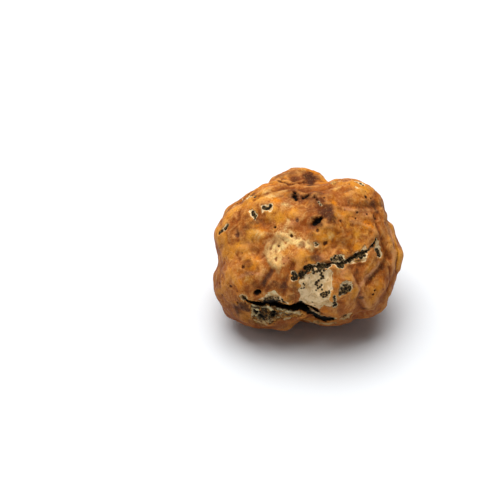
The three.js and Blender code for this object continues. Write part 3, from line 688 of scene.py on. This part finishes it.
def carveLines(carver):  # furrows, with painted shade at the bottom, and ridges, paler at the top
    for view, (deep, width, line) in marks("furrows"):
        for i, distance in carver.nearLine(carver.findLine(view, line), width * 2):
            share = 1 - smoothStep(0, width * 2, distance)
            carver.relief[i] -= share ** 1.5 * deep
            # painted shade at the bottom of the furrow, through a lower swell and umber
            carver.layers["swell"][i] -= share * 0.35
            carver.layers["vein"][i] *= 1 - 0.7 * share
            carver.deepen("umber", i, 0.3 * share ** 2)
    for view, (height, width, line) in marks("ridges"):
        for i, distance in carver.nearLine(carver.findLine(view, line), width * 2):
            share = 1 - smoothStep(0, width * 2, distance)
            carver.relief[i] += share * height * 0.6
            carver.deepen("vein", i, share * 0.8)


def carvePits(carver):  # small round hollows, black or brown inside
    for view, (tint, pits) in marks("pits"):
        for right, up, radius, deep in pits:
            reach = radius * 1.5
            for i, distance in carver.nearPoint(carver.find(view, (right, up)), reach + 0.5):
                distance *= 1 + uneven(carver.places[i], radius * 0.8, 0.35)
                share = 1 - smoothStep(radius * 0.35, reach, distance)
                carver.relief[i] -= share * deep
                carver.deepen(tint, i, 1 - smoothStep(radius * 0.6, radius * 1.15, distance))
                if tint == "black":
                    carver.deepen("umber", i, share)


def openMouth(carver):  # the split, pushed straight in from its view and blackened, as painted shade of its depth and the earth in it
    mouth = truffle["mouth"]
    inwards = -viewAxes(views[mouth["view"]])[2]
    for i, edge in carver.nearMouth():
        edge += uneven(carver.places[i], 0.9, 0.35)
        carver.push[i] = inwards * mouth["depth"] * (1 - smoothStep(-0.7, 0.15, edge))
        carver.deepen("black", i, 1 - smoothStep(-0.45, 0.0, edge))


def bareFlesh(carver, kernels):  # worn patches, cracks, and the dark grains in them
    for view, outline in marks("peels"):
        for i, distance in carver.nearOutline(view, outline, 2.0):
            broken = uneven(carver.places[i], 1.3, 0.35) + uneven(carver.places[i], 0.5, 0.2)
            if view != "front":  # these outlines are plainer, so they are broken up more
                broken += uneven(carver.places[i], 2.6, 1.1)
            carver.lower("peel", i, distance + broken)
    for view, (deep, width, radius, line) in marks("seams"):
        for i, distance in carver.nearLine(carver.findLine(view, line), width * 2):
            carver.relief[i] -= (1 - smoothStep(width * 0.4, width * 1.8, distance)) * deep
            edge = distance - width * (0.9 + uneven(carver.places[i], 1.1, 1.1))
            carver.lower("grain", i, edge)
            carver.lower("peel", i, edge + uneven(carver.places[i], 2.4, 0.3))
    for place, radius in kernels:
        for i, distance in carver.nearPoint(place, radius + 1.0):
            edge = distance * (1 + uneven(carver.places[i], 0.55, 0.25)) - radius
            carver.lower("grain", i, edge)
            carver.lower("peel", i, edge - 0.08 + uneven(carver.places[i], 2.4, 0.35))
    skinDepth, curl, grainHeight = 0.3, 0.16, 0.2  # mm; the curl is the skin's raised edge
    for i in range(len(carver.places)):
        peel, grain = carver.layers["peel"][i], carver.layers["grain"][i]
        carver.relief[i] -= skinDepth * (1 - smoothStep(-0.3, 0.15, peel))
        carver.relief[i] += curl * smoothStep(0, 0.25, peel) * (1 - smoothStep(0.25, 0.9, peel))
        carver.relief[i] += grainHeight * (1 - smoothStep(-0.5, 0.05, grain))
        carver.layers["vein"][i] *= smoothStep(0, 0.6, peel)


def tintSkin(carver):  # every stain and stroke, with a wandering edge
    for view, (tint, stains) in marks("stains"):
        for right, up, radius, strength in stains:
            for i, distance in carver.nearPoint(carver.find(view, (right, up)), radius * 1.8):
                place = carver.places[i]
                distance *= 1 + uneven(place, 2.6, 0.5) + uneven(place, 1.1, 0.35)
                carver.deepen(tint, i, strength * (1 - smoothStep(radius * 0.1, radius * 1.5, distance)))
    for view, (tint, width, strength, line) in marks("strokes"):
        for i, distance in carver.nearLine(carver.findLine(view, line), width * 2):
            place = carver.places[i]
            distance *= 1 + uneven(place, 2.2, 0.5) + uneven(place, 1.1, 0.35)
            carver.deepen(tint, i, strength * (1 - smoothStep(width * 0.3, width * 1.6, distance)))


def pushOut(carver):  # every point moves out by its own relief, and the resting spot stays flat
    for vert, place, normal, relief in zip(carver.bm.verts, carver.places, carver.normals, carver.relief):
        resting = smoothStep(truffle["flat"], 1.2, place.z)  # the relief is whole again 1.2 mm up
        vert.co = place + normal * relief * resting + carver.push.get(vert.index, Vector())
        if vert.co.z < 0.0 or place.z < truffle["flat"]:
            vert.co.z = 0.0
    carver.bm.normal_update()


def readHollows(carver):  # how far each point lies under the skin round it, and how much of the sky it misses
    passes = 8  # of smoothing, for the skin that a point lies under
    farthest = 5.0  # mm, what stands farther off shades nothing
    lift = 0.08  # mm, where a ray starts, so that it misses its own face
    tilted, lean = 6, 0.9  # how many rays are tilted, and how far
    bm = carver.bm
    carved = [vert.co.copy() for vert in bm.verts]
    normals = [vert.normal.copy() for vert in bm.verts]
    axes = {"use_axis_x": True, "use_axis_y": True, "use_axis_z": True}
    for turn in range(passes):
        bmesh.ops.smooth_vert(bm, verts=bm.verts, factor=0.5, **axes)
    for i, vert in enumerate(bm.verts):
        carver.layers["hollow"][i] = (vert.co - carved[i]).dot(normals[i])
    for i, vert in enumerate(bm.verts):
        vert.co = carved[i]
    tree = BVHTree.FromBMesh(bm)
    for i, normal in enumerate(normals):
        aside = normal.orthogonal()
        rays = [(normal, 2)]  # straight out counts double
        for turn in range(tilted):
            rays.append((normal + Matrix.Rotation(turn * pi / 3, 3, normal) @ aside * lean, 1))
        hidden = 0
        for direction, weight in rays:
            distance = tree.ray_cast(carved[i] + normal * lift, direction, farthest)[3]
            if distance is not None:
                hidden += weight * (1 - distance / farthest)
        carver.layers["shade"][i] = min(hidden / tilted, 1)


def makeTruffle(solid):
    bm = fineSkin(solid)
    carver = Carver(bm)
    print("skin:", len(bm.verts), "points")
    kernels = placeGrains(carver)
    refineMarks(carver, kernels)
    print("finer round", len(kernels), "grains:", len(bm.verts), "points")
    carveSkin(carver)
    carveLines(carver)
    carvePits(carver)
    openMouth(carver)
    bareFlesh(carver, kernels)
    tintSkin(carver)
    pushOut(carver)
    readHollows(carver)
    bmesh.ops.scale(bm, vec=Vector((1, 1, 1)) * mm, verts=bm.verts)
    for name, values in carver.layers.items():
        layer = bm.verts.layers.float.new(name)
        for vert, value in zip(bm.verts, values):
            vert[layer] = value
    for face in bm.faces:
        face.smooth = True
    print("carved:", sum(len(face.verts) - 2 for face in bm.faces), "triangles")
    mesh = bpy.data.meshes.new("whiteTruffle")
    bm.to_mesh(mesh)
    bm.free()
    piece = bpy.data.objects.new("whiteTruffle", mesh)
    bpy.context.collection.objects.link(piece)
    return piece


def paint(red, green, blue):  # a colour as a painter reads it, 0 to 255, as the shader wants it
    linear = []
    for part in (red, green, blue):
        share = part / 255
        linear.append(share / 12.92 if part <= 10 else ((share + 0.055) / 1.055) ** 2.4)
    return tuple(linear) + (1.0,)


def addNode(tree, kind, inputs, **settings):
    node = tree.nodes.new("ShaderNode" + kind)
    for name, value in settings.items():
        setattr(node, name, value)
    for name, value in inputs.items():
        if isinstance(value, bpy.types.NodeSocket):
            tree.links.new(value, node.inputs[name])
        else:
            node.inputs[name].default_value = value
    return node


def layerValue(tree, name):
    return addNode(tree, "Attribute", {}, attribute_type="GEOMETRY", attribute_name=name).outputs["Fac"]


def noiseValue(tree, place, size, detail, roughness, distortion):  # size in mm
    inputs = {"Vector": place, "Scale": 1 / (size * mm), "Detail": detail}
    inputs.update({"Roughness": roughness, "Distortion": distortion})
    return addNode(tree, "TexNoise", inputs).outputs["Fac"]


def spots(tree, place, size, outer, inner):  # round dots, one in each cell of the size, in mm
    cells = addNode(tree, "TexVoronoi", {"Vector": place, "Scale": 1 / (size * mm)})
    return fade(tree, cells.outputs["Distance"], outer, inner)


def warped(tree, place, size, amount):  # the same place, moved about by up to half the amount, in mm
    inputs = {"Vector": place, "Scale": 1 / (size * mm), "Detail": 2.0}
    drift = addNode(tree, "TexNoise", inputs).outputs["Color"]
    drift = addNode(tree, "VectorMath", {0: drift, 1: (0.5, 0.5, 0.5)}, operation="SUBTRACT").outputs[0]
    drift = addNode(tree, "VectorMath", {0: drift, "Scale": amount * mm}, operation="SCALE").outputs[0]
    return addNode(tree, "VectorMath", {0: place, 1: drift}, operation="ADD").outputs[0]


def fade(tree, value, low, high):  # from 0 at low to 1 at high, which may be the smaller of the two
    inputs = {0: value, 1: low, 2: high, 3: 0.0, 4: 1.0}
    return addNode(tree, "MapRange", inputs, interpolation_type="SMOOTHSTEP", clamp=True).outputs[0]


def maths(tree, operation, first, second=0.0):
    return addNode(tree, "Math", {0: first, 1: second}, operation=operation).outputs[0]


def times(tree, first, second):
    return maths(tree, "MULTIPLY", first, second)


def centred(tree, value):  # a noise that swings either side of nothing
    return maths(tree, "SUBTRACT", value, 0.5)


def leftOver(tree, share):  # what a share leaves over
    return maths(tree, "SUBTRACT", 1.0, share)


def mix(tree, factor, first, second, blend="MIX"):
    inputs = {0: factor, 6: first, 7: second}
    return addNode(tree, "Mix", inputs, data_type="RGBA", blend_type=blend, clamp_factor=True).outputs[2]


def laid(tree, under, amount, share, name, blend="MIX"):  # one of the colours laid over what is there
    return mix(tree, times(tree, amount, share), under, colours[name], blend)


def ragged(tree, layer, grain, roughness):  # a soft layer given a broken edge
    amount = layerValue(tree, layer)
    broken = times(tree, centred(tree, grain), roughness)
    broken = times(tree, broken, fade(tree, amount, 0.0, 0.3))
    return fade(tree, maths(tree, "ADD", amount, broken), 0.05, 0.9)


colours = {
    "rust": paint(146, 70, 14),
    "ochre": paint(184, 104, 24),
    "straw": paint(206, 136, 42),
    "vein": paint(194, 122, 60),
    "crest": paint(222, 158, 86),
    "honey": paint(222, 128, 8),
    # painted highlight on the tops of the lumps
    "lumpHighlight": paint(224, 146, 36),
    "gold": paint(234, 156, 44),
    "umber": paint(62, 27, 9),
    "russet": paint(112, 54, 20),
    "slate": paint(78, 50, 38),
    "pale": paint(255, 222, 146),
    "blush": paint(212, 150, 104),
    "drab": paint(134, 84, 40),
    # painted shade, multiplied over the lower body
    "footShade": paint(178, 156, 128),
    "hollow": paint(122, 56, 8),
    "speck": paint(92, 38, 16),
    "flesh": paint(246, 215, 166),
    "fleshShade": paint(206, 164, 108),
    "fleshGrey": paint(142, 106, 66),
    "rim": paint(240, 222, 172),
    "rind": paint(120, 66, 18),
    "rindLight": paint(226, 164, 66),
    "murk": paint(54, 36, 18),
    "murkLight": paint(156, 120, 68),
    "grain": paint(26, 18, 9),
    "grainSpeck": paint(132, 106, 64),
    "dark": paint(9, 6, 4),
}


noises = {  # size in mm, detail, roughness, distortion
    "broad": (9, 5, 0.65, 0.6),
    "middling": (3.2, 6, 0.68, 0.8),
    "small": (1.1, 3, 0.6, 0.3),
    "fine": (0.45, 3, 0.65, 0.0),
    "marble": (2.8, 4, 0.62, 1.8),  # swirls, as in the grain of wood
}
streaks = (0.9, 4, 0.6, 0.5)  # the same, for the pattern that is drawn out up and down


def makePatterns(tree, place):
    patterns = {name: noiseValue(tree, place, *settings) for name, settings in noises.items()}
    drawnOut = {"Vector": warped(tree, place, 5, 4), "Scale": (1, 1, 0.25)}
    patterns["streak"] = noiseValue(tree, addNode(tree, "Mapping", drawnOut).outputs["Vector"], *streaks)
    return patterns


def paleShare(tree, patterns):  # the pale worn patches, frayed along the streaks and swirls
    rays = times(tree, centred(tree, patterns["streak"]), 1.2)
    rays = maths(tree, "ADD", rays, times(tree, centred(tree, patterns["marble"]), 1.2))
    return times(tree, fade(tree, maths(tree, "ADD", layerValue(tree, "pale"), rays), 0.0, 1.05), 0.9)


def wholeSkin(tree, place, patterns, pale):  # rust through ochre to straw, with a net of pale lines over it
    broad, middling, marble, streak = (patterns[name] for name in ("broad", "middling", "marble", "streak"))
    blotch = maths(tree, "ADD", times(tree, broad, 0.45), times(tree, marble, 0.55))
    colour = mix(tree, fade(tree, blotch, 0.36, 0.54), colours["rust"], colours["ochre"])
    colour = mix(tree, fade(tree, blotch, 0.5, 0.68), colour, colours["straw"])
    lines = fade(tree, maths(tree, "ABSOLUTE", centred(tree, marble)), 0.05, 0.0)
    colour = laid(tree, colour, lines, 0.45, "crest")
    net = {"Vector": warped(tree, place, 4, 5), "Scale": 1 / (3.6 * mm)}
    toEdge = addNode(tree, "TexVoronoi", net, feature="DISTANCE_TO_EDGE").outputs["Distance"]
    netted = fade(tree, broad, 0.4, 0.6)
    colour = laid(tree, colour, fade(tree, toEdge, 0.14, 0.4), times(tree, netted, 0.5), "honey")
    colour = laid(tree, colour, fade(tree, toEdge, 0.13, 0.02), times(tree, netted, 0.6), "vein")
    colour = laid(tree, colour, fade(tree, streak, 0.5, 0.64), 0.4, "crest")
    colour = laid(tree, colour, fade(tree, streak, 0.48, 0.36), 0.5, "rust")
    vein = times(tree, layerValue(tree, "vein"), fade(tree, patterns["small"], 0.25, 0.6))
    colour = laid(tree, colour, vein, 0.7, "vein")
    colour = laid(tree, colour, ragged(tree, "drab", middling, 0.9), 0.8, "drab")
    colour = laid(tree, colour, ragged(tree, "gold", marble, 0.9), 0.9, "gold")
    colour = laid(tree, colour, ragged(tree, "honey", middling, 0.9), 0.95, "honey")
    colour = laid(tree, colour, ragged(tree, "blush", middling, 1.0), 0.75, "blush")
    colour = mix(tree, pale, colour, colours["pale"])

    # painted highlight on the tops of the lumps, and painted shade on the low ground between them
    swell = maths(tree, "ADD", layerValue(tree, "swell"), times(tree, centred(tree, middling), 0.8))
    colour = laid(tree, colour, fade(tree, swell, 0.05, -0.45), 0.6, "rust")
    colour = laid(tree, colour, fade(tree, swell, 0.1, 0.5), 0.55, "lumpHighlight")
    # hollows of the skin darker, as painted shade and partly earth; crests paler, as a painted highlight and
    # partly paler skin
    hollow = layerValue(tree, "hollow")
    colour = laid(tree, colour, fade(tree, hollow, 0.015, 0.13), 0.85, "hollow")
    return laid(tree, colour, fade(tree, hollow, -0.02, -0.12), 0.45, "crest")


def stainedSkin(tree, place, patterns, pale, colour):  # stains, and specks wherever the skin isn't pale
    broad, middling, small, fine = (patterns[name] for name in ("broad", "middling", "small", "fine"))
    colour = laid(tree, colour, ragged(tree, "russet", middling, 1.5), 0.9, "russet")
    colour = laid(tree, colour, ragged(tree, "slate", small, 0.6), 0.8, "slate")
    mottle = maths(tree, "ADD", times(tree, small, 0.5), times(tree, middling, 0.5))
    colour = laid(tree, colour, ragged(tree, "umber", mottle, 1.6), 0.92, "umber")
    specks = times(tree, spots(tree, place, 2.3, 0.17, 0.08), fade(tree, broad, 0.42, 0.55))
    freckles = times(tree, spots(tree, place, 1.3, 0.22, 0.1), fade(tree, patterns["marble"], 0.5, 0.36))
    specks = maths(tree, "MAXIMUM", specks, times(tree, freckles, 0.85))
    colour = laid(tree, colour, times(tree, specks, leftOver(tree, pale)), 0.75, "speck")
    colour = laid(tree, colour, fade(tree, fine, 0.5, 0.7), 0.45, "rust")
    return laid(tree, colour, fade(tree, fine, 0.46, 0.3), 0.35, "crest")


def bareColour(tree, patterns, torn):  # the flesh, with a paler torn edge, brown rind (on the lower lip partly painted shade) and dark murk
    middling, small, fine = (patterns[name] for name in ("middling", "small", "fine"))
    flesh = mix(tree, fade(tree, middling, 0.4, 0.62), colours["flesh"], colours["fleshShade"])
    flesh = laid(tree, flesh, fade(tree, small, 0.52, 0.7), 0.5, "fleshGrey")
    rind = mix(tree, fade(tree, fine, 0.48, 0.62), colours["rind"], colours["rindLight"])
    flesh = mix(tree, ragged(tree, "rind", small, 1.2), flesh, rind)
    rim = times(tree, fade(tree, torn, -0.4, -0.15), fade(tree, middling, 0.38, 0.58))
    rim = times(tree, rim, leftOver(tree, times(tree, layerValue(tree, "rind"), 0.8)))
    flesh = laid(tree, flesh, rim, 0.8, "rim")
    murk = mix(tree, fade(tree, fine, 0.5, 0.68), colours["murk"], colours["murkLight"])
    flesh = mix(tree, ragged(tree, "murk", small, 1.6), flesh, murk)
    return laid(tree, flesh, ragged(tree, "cream", small, 1.8), 0.95, "rim")


def truffleSkin():
    material = bpy.data.materials.new("truffleSkin")
    material.use_nodes = True
    tree = material.node_tree
    shader = tree.nodes["Principled BSDF"]
    place = addNode(tree, "TexCoord", {}).outputs["Object"]
    patterns = makePatterns(tree, place)
    small, fine = patterns["small"], patterns["fine"]

    pale = paleShare(tree, patterns)
    colour = wholeSkin(tree, place, patterns, pale)
    colour = stainedSkin(tree, place, patterns, pale, colour)
    torn = maths(tree, "ADD", layerValue(tree, "peel"), times(tree, centred(tree, small), 0.9))
    bare = fade(tree, torn, 0.05, -0.08)
    colour = mix(tree, bare, colour, bareColour(tree, patterns, torn))

    # dark grains
    kernel = maths(tree, "ADD", layerValue(tree, "grain"), times(tree, centred(tree, small), 0.5))
    meal = mix(tree, fade(tree, fine, 0.5, 0.64), colours["grain"], colours["grainSpeck"])
    colour = mix(tree, fade(tree, kernel, 0.04, -0.1), colour, meal)

    # painted shade, darker towards the bottom; the black of holes and the split; and painted shade where the
    # light hardly reaches
    # painted shade: the body is multiplied darker from 30 mm down to 6 mm
    footTop, footLow = 30 * mm, 6 * mm
    footShade = fade(tree, addNode(tree, "SeparateXYZ", {0: place}).outputs["Z"], footTop, footLow)
    colour = laid(tree, colour, footShade, 0.85, "footShade", "MULTIPLY")
    black = layerValue(tree, "black")
    colour = mix(tree, black, colour, colours["dark"])
    colour = mix(tree, fade(tree, layerValue(tree, "shade"), 0.35, 0.7), colour, colours["dark"])
    tree.links.new(colour, shader.inputs["Base Color"])

    roughness = addNode(tree, "MapRange", {0: small, 1: 0.3, 2: 0.7, 3: 0.5, 4: 0.72}).outputs[0]
    roughness = maths(tree, "ADD", roughness, times(tree, maths(tree, "MAXIMUM", bare, black), 0.25))
    tree.links.new(roughness, shader.inputs["Roughness"])
    shader.inputs["Specular IOR Level"].default_value = 0.12
    shader.inputs["Subsurface Weight"].default_value = 0.06
    shader.inputs["Subsurface Radius"].default_value = (1.0, 0.45, 0.2)
    shader.inputs["Subsurface Scale"].default_value = 1.5 * mm

    height = maths(tree, "ADD", times(tree, small, 0.5), times(tree, fine, 0.25))
    height = maths(tree, "ADD", height, times(tree, patterns["streak"], 0.4))
    bump = addNode(tree, "Bump", {"Strength": 0.9, "Distance": 0.4 * mm, "Height": height})
    tree.links.new(bump.outputs["Normal"], shader.inputs["Normal"])
    return material


studio = {
    "floor": 3.0,  # m across
    "paper": (0.86, 0.885, 0.91, 1),
    "sky": 0.12,
    "lamps": [  # place in m from the truffle's middle, size in m, watts
        {"at": (-0.08, 0.14, 0.72), "size": 0.7, "power": 8.4},
        {"at": (-0.5, -0.3, 0.7), "size": 0.3, "power": 0.4},
    ],
}


def addStudio():
    bm = bmesh.new()
    bmesh.ops.create_grid(bm, x_segments=1, y_segments=1, size=studio["floor"] / 2)
    mesh = bpy.data.meshes.new("floor")
    bm.to_mesh(mesh)
    bm.free()
    floor = bpy.data.objects.new("floor", mesh)
    bpy.context.collection.objects.link(floor)
    paper = bpy.data.materials.new("floorPaper")
    paper.use_nodes = True
    shader = paper.node_tree.nodes["Principled BSDF"]
    shader.inputs["Base Color"].default_value = studio["paper"]
    shader.inputs["Roughness"].default_value = 0.9
    shader.inputs["Specular IOR Level"].default_value = 0.1
    floor.data.materials.append(paper)
    world = bpy.data.worlds.new("studio")
    world.use_nodes = True
    world.node_tree.nodes["Background"].inputs["Color"].default_value = (1, 1, 1, 1)
    world.node_tree.nodes["Background"].inputs["Strength"].default_value = studio["sky"]
    bpy.context.scene.world = world
    for number, lamp in enumerate(studio["lamps"]):
        light = bpy.data.lights.new("lamp%d" % number, "AREA")
        light.size = lamp["size"]
        light.energy = lamp["power"]
        lampObject = bpy.data.objects.new("lamp%d" % number, light)
        bpy.context.collection.objects.link(lampObject)
        lampObject.location = bodyMiddle * mm + Vector(lamp["at"])
        lampObject.rotation_euler = Vector(lamp["at"]).to_track_quat("Z", "Y").to_euler()
    bpy.context.scene.view_settings.view_transform = "Standard"


whiteTruffle = makeTruffle(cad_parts["truffle"])
whiteTruffle.data.materials.append(truffleSkin())
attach(whiteTruffle, "root")
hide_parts("truffle")
print("truffle made")
addCamera()
addStudio()
print("studio made")

bpy.context.view_layer.update()
